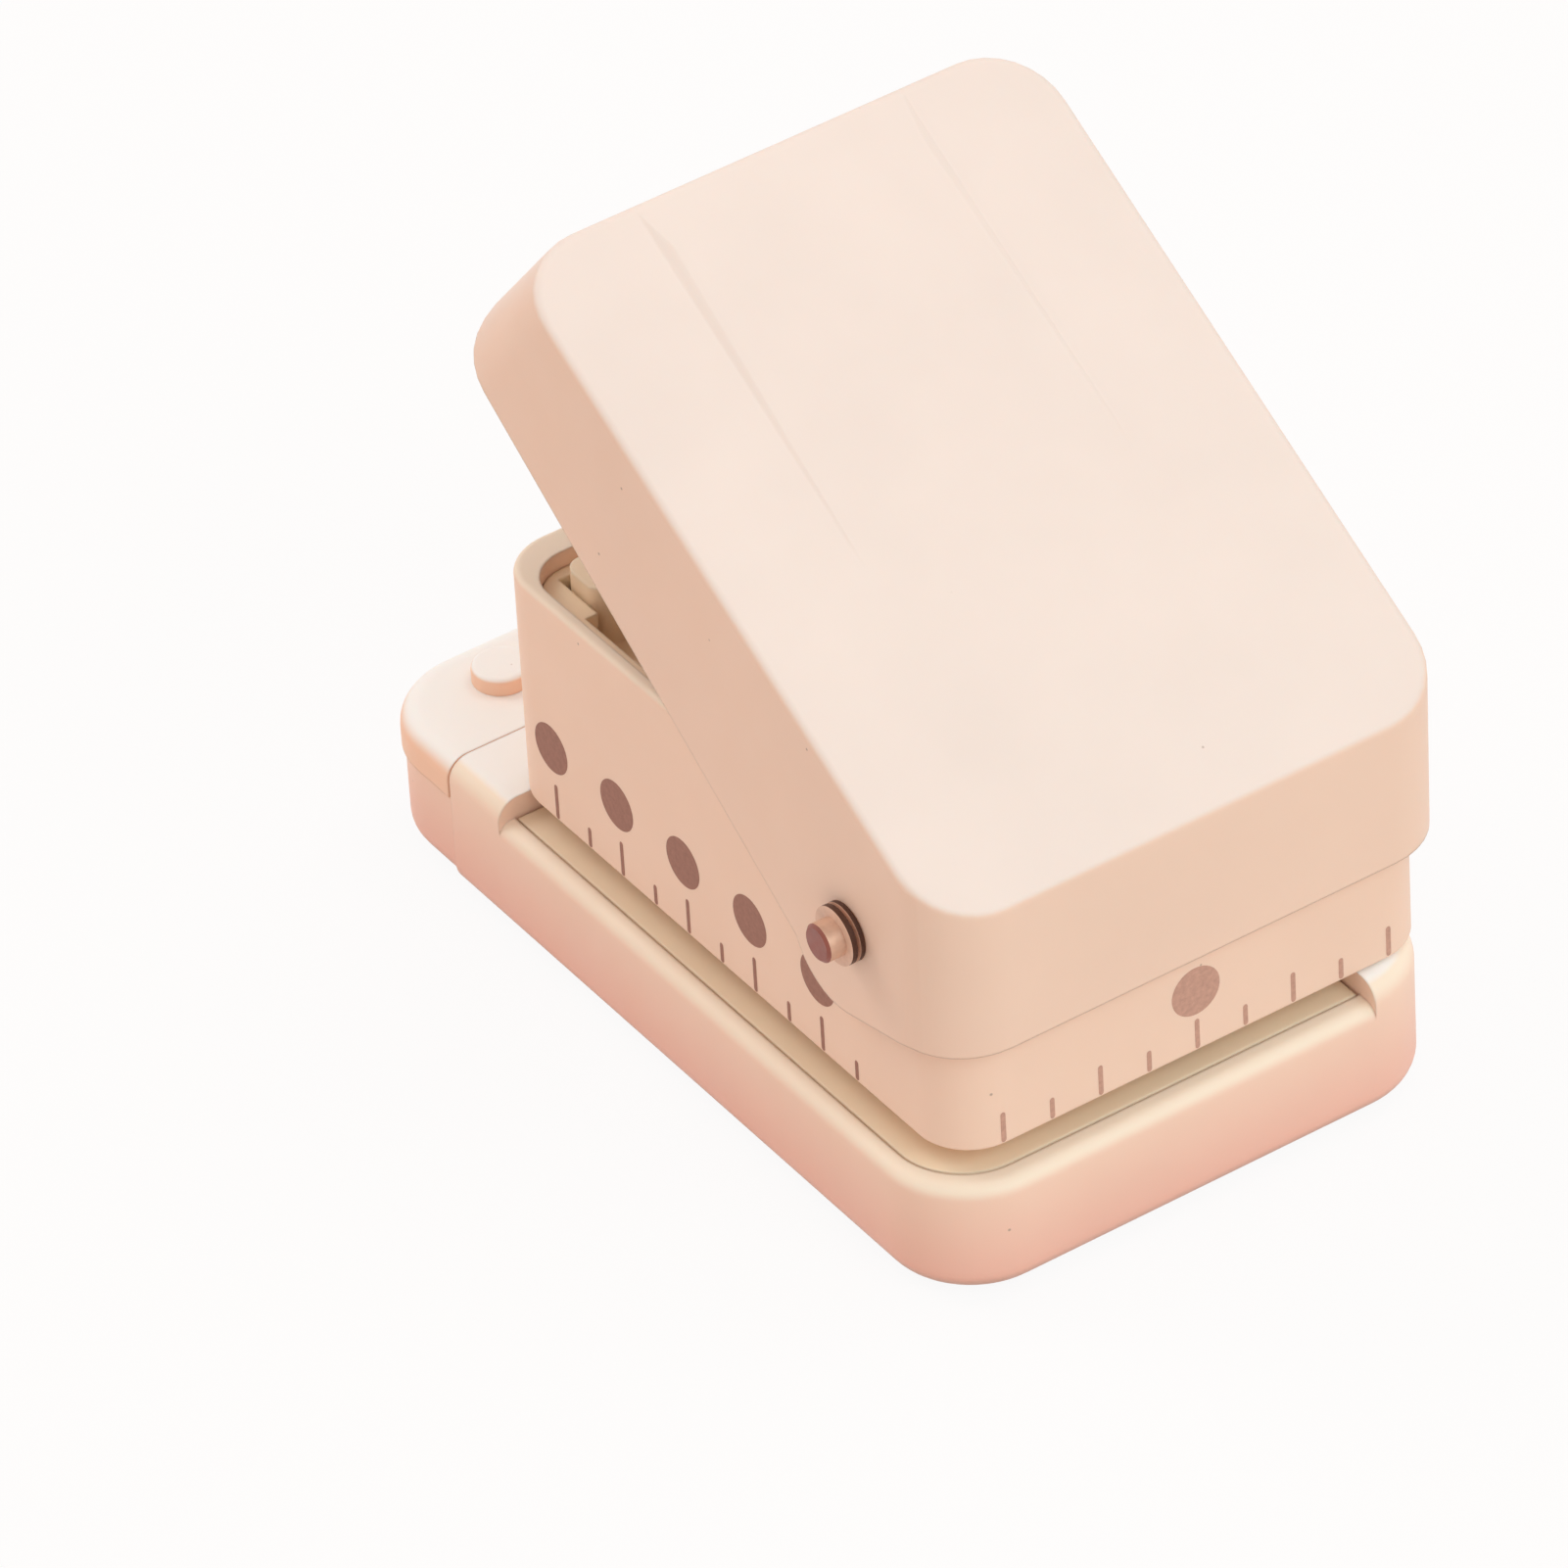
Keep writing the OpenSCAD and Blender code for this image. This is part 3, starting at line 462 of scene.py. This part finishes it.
def new_piece(name, mesh, material, body):
    """A piece of the object that moves with a body of the frame."""
    piece = bpy.data.objects.new(name, mesh)
    bpy.context.scene.collection.objects.link(piece)
    mesh.materials.append(material)
    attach(piece, body)
    return piece


def disc_outline(centre, diameter, count=48):
    """Points round a dot."""
    radius = diameter / 2
    points = []
    for i in range(count):
        angle = 2 * math.pi * i / count
        points.append((centre[0] + radius * math.cos(angle), centre[1] + radius * math.sin(angle)))
    return points


def tick_outline(u, low, high, width, count=6):
    """Points round a straight tick with round ends."""
    radius = width / 2
    points = []
    for centre, start in ((high - radius, 0.0), (low + radius, math.pi)):
        for i in range(count + 1):
            angle = start + math.pi * i / count
            points.append((u + radius * math.cos(angle), centre + radius * math.sin(angle)))
    return points


def print_mark(bm, outline, face_point, face, height):
    """One printed mark: a thin pad with a sloping rim, its back just inside the plastic."""
    out, along, up = face
    centre_u = sum(u for u, v in outline) / len(outline)
    centre_v = sum(v for u, v in outline) / len(outline)
    rings = []
    for inset, lift in ((0.0, -INK_ROOT), (0.0, INK_FOOT * height), (INK_SLOPE, height)):
        ring = []
        for u, v in outline:
            away = Vector((u - centre_u, v - centre_v))
            away = away * max(0.0, 1 - inset / away.length)
            place = face_point + along * (centre_u + away.x) + up * (centre_v + away.y) + out * lift
            ring.append(bm.verts.new(place))
        rings.append(ring)
    count = len(outline)
    for low, high in zip(rings, rings[1:]):
        for i in range(count):
            bm.faces.new((low[i], low[(i + 1) % count], high[(i + 1) % count], high[i]))
    bm.faces.new(rings[-1])
    bm.faces.new(tuple(reversed(rings[0])))


def printed_piece(name, outlines, face_point, face, height, material):
    """All marks of one kind on one face, as one piece."""
    bm = bmesh.new()
    for outline in outlines:
        print_mark(bm, outline, face_point, face, height)
    new_piece(name, finished_mesh(bm, name), material, "base")


class PUNCH_OT_stage(bpy.types.Operator):
    """Set up the camera, the soft lamps and the pale floor"""

    bl_idname = "punch.stage"
    bl_label = "Studio"

    # The camera's place, its right and up directions, and its lens in pixels of the picture
    camera_place = Vector((-0.48285, -0.72885, 0.7079))
    camera_right = Vector((0.82076, -0.56924, -0.04816))
    camera_up = Vector((0.38329, 0.48621, 0.78531))
    lens_pixels = 14000
    picture_pixels = 1601
    sensor = 36.0

    # Place, width and colour of each lamp, and the point at which all are aimed
    key_lamp = ((0.42, -0.04, 0.84), 0.5, (1.0, 1.0, 1.0))
    fill_lamp = ((0.14, -0.72, 0.6), 0.6, (0.78, 0.98, 1.0))
    rim_lamp = ((-0.34, 0.6, 0.62), 0.5, (1.0, 0.91, 0.84))
    aim = Vector((0, 0.005, 0.03))

    # The floor lies just below the chip tray, and most of what is seen of it is plain white
    floor_width = 8
    floor_drop = 0.05 * MM
    white_share = 0.92

    def camera(self, context):
        back = self.camera_right.cross(self.camera_up)
        data = bpy.data.cameras.new("studio_camera")
        data.sensor_fit = "HORIZONTAL"
        data.sensor_width = self.sensor
        data.lens = self.sensor * self.lens_pixels / self.picture_pixels
        camera = bpy.data.objects.new("studio_camera", data)
        turn = Matrix((self.camera_right, self.camera_up, back)).transposed().to_4x4()
        camera.matrix_world = Matrix.Translation(self.camera_place) @ turn
        context.scene.collection.objects.link(camera)
        context.scene.camera = camera

    def lamp(self, context, name, power, place, size, colour):
        data = bpy.data.lights.new(name, "AREA")
        data.shape = "DISK"
        data.size = size
        data.energy = power
        data.color = colour
        lamp = bpy.data.objects.new(name, data)
        lamp.location = place
        lamp.rotation_euler = (self.aim - Vector(place)).to_track_quat("-Z", "Y").to_euler()
        context.scene.collection.objects.link(lamp)

    def seen_directly(self, tree):
        """1 for a ray from the camera or by way of gloss or glass, 0 for light on the object."""
        path = add_node(tree, "ShaderNodeLightPath")
        seen = path.outputs["Is Camera Ray"]
        for other in ("Is Glossy Ray", "Is Transmission Ray"):
            both = add_node(tree, "ShaderNodeMath", operation="MAXIMUM")
            tree.links.new(seen, both.inputs[0])
            tree.links.new(path.outputs[other], both.inputs[1])
            seen = both.outputs["Value"]
        return seen

    def room(self, context, stage):
        world = bpy.data.worlds.new("studio_room")
        world.use_nodes = True
        context.scene.world = world
        tree = world.node_tree
        light = tree.nodes["Background"]
        light.inputs["Color"].default_value = (*stage.room, 1)
        light.inputs["Strength"].default_value = stage.room_light
        white = add_node(tree, "ShaderNodeBackground", Color=(1, 1, 1, 1), Strength=1.0)
        mix = add_node(tree, "ShaderNodeMixShader")
        tree.links.new(self.seen_directly(tree), mix.inputs["Fac"])
        tree.links.new(light.outputs["Background"], mix.inputs[1])
        tree.links.new(white.outputs["Background"], mix.inputs[2])
        tree.links.new(mix.outputs["Shader"], tree.nodes["World Output"].inputs["Surface"])

    def floor(self, context, stage):
        material, tree, surface = new_material("pale_floor")
        surface.inputs["Base Color"].default_value = (*stage.floor, 1)
        surface.inputs["Roughness"].default_value = 0.9
        surface.inputs["Specular IOR Level"].default_value = 0.1
        glow = add_node(tree, "ShaderNodeEmission", Color=(1, 1, 1, 1))
        mix = add_node(tree, "ShaderNodeMixShader")
        part = add_node(tree, "ShaderNodeMath", operation="MULTIPLY")
        part.inputs[1].default_value = self.white_share
        tree.links.new(self.seen_directly(tree), part.inputs[0])
        tree.links.new(part.outputs["Value"], mix.inputs["Fac"])
        tree.links.new(surface.outputs["BSDF"], mix.inputs[1])
        tree.links.new(glow.outputs["Emission"], mix.inputs[2])
        tree.links.new(mix.outputs["Shader"], tree.nodes["Material Output"].inputs["Surface"])
        bpy.ops.mesh.primitive_plane_add(size=self.floor_width, location=(0, 0, -self.floor_drop))
        floor = context.object
        floor.name = "studio_floor"
        floor.data.materials.append(material)

    def execute(self, context):
        stage = context.scene.hole_punch.stage
        context.scene.view_settings.view_transform = "Standard"
        self.camera(context)
        self.lamp(context, "key_lamp", stage.key_light, *self.key_lamp)
        self.lamp(context, "fill_lamp", stage.fill_light, *self.fill_lamp)
        self.lamp(context, "rim_lamp", stage.rim_light, *self.rim_lamp)
        self.room(context, stage)
        self.floor(context, stage)
        return {"FINISHED"}


class PUNCH_OT_plastic_shells(bpy.types.Operator):
    """Finish the moulded pieces: lever, body, top frame, presser, gauge, base, deck and chip tray"""

    bl_idname = "punch.plastic_shells"
    bl_label = "Plastic shells"

    # Share of painted shade under lower edges, upward slope over which the base's land turns paler as
    # painted light, and bend of the lever's sharp edges
    under_edge_shade = 0.45
    land_slope = (0.8, 0.98)
    sharp_bend = math.radians(23.2)

    def execute(self, context):
        plastic = context.scene.hole_punch.plastic
        finish_solids(LEVER_SHELLS, plastic_material(
            "lever_shell", plastic, plastic.lever, plastic.lit_top, under_shade=self.under_edge_shade))
        finish_solids(GAUGE_SHELLS, plastic_material(
            "gauge_shell", plastic, plastic.gauge, plastic.lit_gauge_top))
        finish_solids(BODY_SHELLS, plastic_material(
            "body_shell", plastic, plastic.body, plastic.rim))
        finish_solids(BLUSH_SHELLS, plastic_material(
            "blush_shell", plastic, plastic.side, plastic.lit_gauge_top, plastic.blush, plastic.rim,
            under_shade=self.under_edge_shade, level=self.land_slope))
        # Painted shade: the deck, the frame and the presser take the tan of warm shade
        finish_solids(SHADE_TAN_SHELLS, plastic_material(
            "shade_tan_shell", plastic, plastic.tan, plastic.tan, rough_shift=0.08))
        smooth_facets(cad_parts["lever"], self.sharp_bend)
        return {"FINISHED"}


class PUNCH_OT_steel_works(bpy.types.Operator):
    """Finish the punches, the dies, the carrier and the screws"""

    bl_idname = "punch.steel_works"
    bl_label = "Steel works"

    def execute(self, context):
        metal = context.scene.hole_punch.metal
        finish_solids(STEEL_WORKS, metal_material(
            "ground_steel", metal.steel, roughness=0.32, streak=(1, 1, 0.08)))
        return {"FINISHED"}


class PUNCH_OT_pivot_metal(bpy.types.Operator):
    """Finish the pivot pin, its washers and its retaining clips"""

    bl_idname = "punch.pivot_metal"
    bl_label = "Pivot metal"

    def execute(self, context):
        metal = context.scene.hole_punch.metal
        finish_solids(PIN_WORKS, metal_material(
            "turned_bronze", metal.bronze, roughness=0.38, streak=(1, 0.15, 0.15),
            metallic=0.5, end_colour=metal.pin_end))
        finish_solids(CLIP_WORKS, metal_material(
            "browned_clip", metal.brown, roughness=0.42, streak=(1, 0.3, 0.3),
            metallic=0.4, end_colour=metal.bronze))
        return {"FINISHED"}


class PUNCH_OT_row_marks(bpy.types.Operator):
    """Print a dot and a tick for each hole of the row on the left face, with short ticks between them"""

    bl_idname = "punch.row_marks"
    bl_label = "Row marks"

    def execute(self, context):
        marks = context.scene.hole_punch.marks
        ink = ink_material("row_ink", marks.ink)
        face_point = Vector((BODY_LOW.x, 0, BODY_LOW.z))
        places = []
        for name in ROW_PUNCHES:
            low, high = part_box(name)
            places.append(-(low.y + high.y) / 2)
        pitch = places[1] - places[0]
        dots = [disc_outline((u, marks.row_dot_z), marks.dot) for u in places]
        ticks = []
        for hole in places:
            u = hole + marks.tick_shift
            ticks.append(tick_outline(u, marks.tick_foot, marks.tick_foot + marks.long_tick, marks.tick))
            ticks.append(tick_outline(
                u + pitch / 2, marks.tick_foot, marks.tick_foot + marks.short_tick, marks.tick))
        printed_piece("row_dots", dots, face_point, LEFT_FACE, marks.ink_height, ink)
        printed_piece("row_ticks", ticks, face_point, LEFT_FACE, marks.ink_height, ink)
        return {"FINISHED"}


class PUNCH_OT_front_marks(bpy.types.Operator):
    """Print the dot of the single hole and the scale beside it on the front face"""

    bl_idname = "punch.front_marks"
    bl_label = "Front marks"

    # Half pitches marked on each side of the hole
    steps_each_side = 4

    def execute(self, context):
        marks = context.scene.hole_punch.marks
        ink = ink_material("front_ink", marks.front_ink)
        face_point = Vector((0, BODY_LOW.y, BODY_LOW.z))
        low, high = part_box("single_punch")
        middle = (low.x + high.x) / 2
        first, second = [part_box(name)[0].y for name in ROW_PUNCHES[:2]]
        step = abs(first - second) / 2
        ticks = []
        for i in range(-self.steps_each_side, self.steps_each_side + 1):
            length = marks.front_short_tick if i % 2 else marks.front_long_tick
            ticks.append(tick_outline(
                middle + i * step, marks.tick_foot, marks.tick_foot + length, marks.tick))
        dot = [disc_outline((middle, marks.front_dot_z), marks.dot)]
        printed_piece("front_dot", dot, face_point, FRONT_FACE, marks.ink_height, ink)
        printed_piece("front_ticks", ticks, face_point, FRONT_FACE, marks.ink_height, ink)
        return {"FINISHED"}


class PUNCH_OT_return_springs(bpy.types.Operator):
    """Wind the two return springs with closed end turns"""

    bl_idname = "punch.return_springs"
    bl_label = "Return springs"

    # Rings of points in a turn, points round the wire, and turns that lie flat at each end
    steps_per_turn = 40
    sides = 14
    closed_turns = 0.8

    def rise(self, turn, turns, wire, length):
        """Height of the wire's middle after a number of turns: flat ends, an even pitch between them."""
        closed = self.closed_turns
        low = wire / 2
        high = length - wire / 2
        if turn <= closed:
            return low + 0.5 * wire * turn / closed
        if turn >= turns - closed:
            return high - 0.5 * wire * (turns - turn) / closed
        share = (turn - closed) / (turns - 2 * closed)
        return low + 0.5 * wire + share * (high - low - wire)

    def wind(self, name, middle, low, length, radius, wire, turns):
        """A coil of round wire on its foot."""
        bm = bmesh.new()
        rings = []
        steps = self.steps_per_turn * turns
        for i in range(steps + 1):
            turn = i / self.steps_per_turn
            angle = 2 * math.pi * turn
            z = low + self.rise(turn, turns, wire, length)
            ring = []
            for k in range(self.sides):
                round_wire = 2 * math.pi * k / self.sides
                out = radius + wire / 2 * math.cos(round_wire)
                ring.append(bm.verts.new((
                    middle.x + out * math.cos(angle),
                    middle.y + out * math.sin(angle),
                    z + wire / 2 * math.sin(round_wire))))
            rings.append(ring)
        for before, after in zip(rings, rings[1:]):
            for k in range(self.sides):
                n = (k + 1) % self.sides
                face = bm.faces.new((before[k], before[n], after[n], after[k]))
                face.smooth = True
        bm.faces.new(tuple(reversed(rings[0])))
        bm.faces.new(rings[-1])
        return finished_mesh(bm, name)

    def execute(self, context):
        metal = context.scene.hole_punch.metal
        wire_steel = metal_material("spring_wire", metal.spring_steel, roughness=0.3, streak=(1, 1, 1))
        for node in SPRINGS:
            low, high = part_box(node)
            middle = (low + high) / 2
            length = high.z - low.z
            radius = (high.x - low.x - metal.wire) / 2
            mesh = self.wind(node + "_coil", middle, low.z, length, radius, metal.wire, metal.turns)
            spring = new_piece(node + "_coil", mesh, wire_steel, "base")
            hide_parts(node)
            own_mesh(spring)
        return {"FINISHED"}


MAKERS = [
    PUNCH_OT_stage, PUNCH_OT_plastic_shells, PUNCH_OT_steel_works, PUNCH_OT_pivot_metal,
    PUNCH_OT_row_marks, PUNCH_OT_front_marks, PUNCH_OT_return_springs,
]


class VIEW3D_PT_hole_punch(bpy.types.Panel):
    """Pieces and finishes of the hole punch"""

    bl_idname = "VIEW3D_PT_hole_punch"
    bl_label = "Hole punch"
    bl_space_type = "VIEW_3D"
    bl_region_type = "UI"
    bl_category = "Hole punch"

    def draw(self, context):
        layout = self.layout
        for maker in MAKERS:
            layout.operator(maker.bl_idname)
        settings = context.scene.hole_punch
        for group in (settings.plastic, settings.marks, settings.metal, settings.stage):
            box = layout.box()
            for name in group.__annotations__:
                box.prop(group, name)


CLASSES = [
    PlasticSettings, MarkSettings, MetalSettings, StageSettings, HolePunchSettings,
    *MAKERS, VIEW3D_PT_hole_punch,
]


def register():
    """Adds the settings, the makers and the panel."""
    for cls in CLASSES:
        bpy.utils.register_class(cls)
    bpy.types.Scene.hole_punch = PointerProperty(type=HolePunchSettings)


def unregister():
    """Takes the settings, the makers and the panel out again."""
    del bpy.types.Scene.hole_punch
    for cls in reversed(CLASSES):
        bpy.utils.unregister_class(cls)


def main():
    """Makes everything in order."""
    register()
    bpy.ops.punch.stage()
    bpy.ops.punch.plastic_shells()
    bpy.ops.punch.steel_works()
    bpy.ops.punch.pivot_metal()
    bpy.ops.punch.row_marks()
    bpy.ops.punch.front_marks()
    bpy.ops.punch.return_springs()


if __name__ == "__main__":
    main()
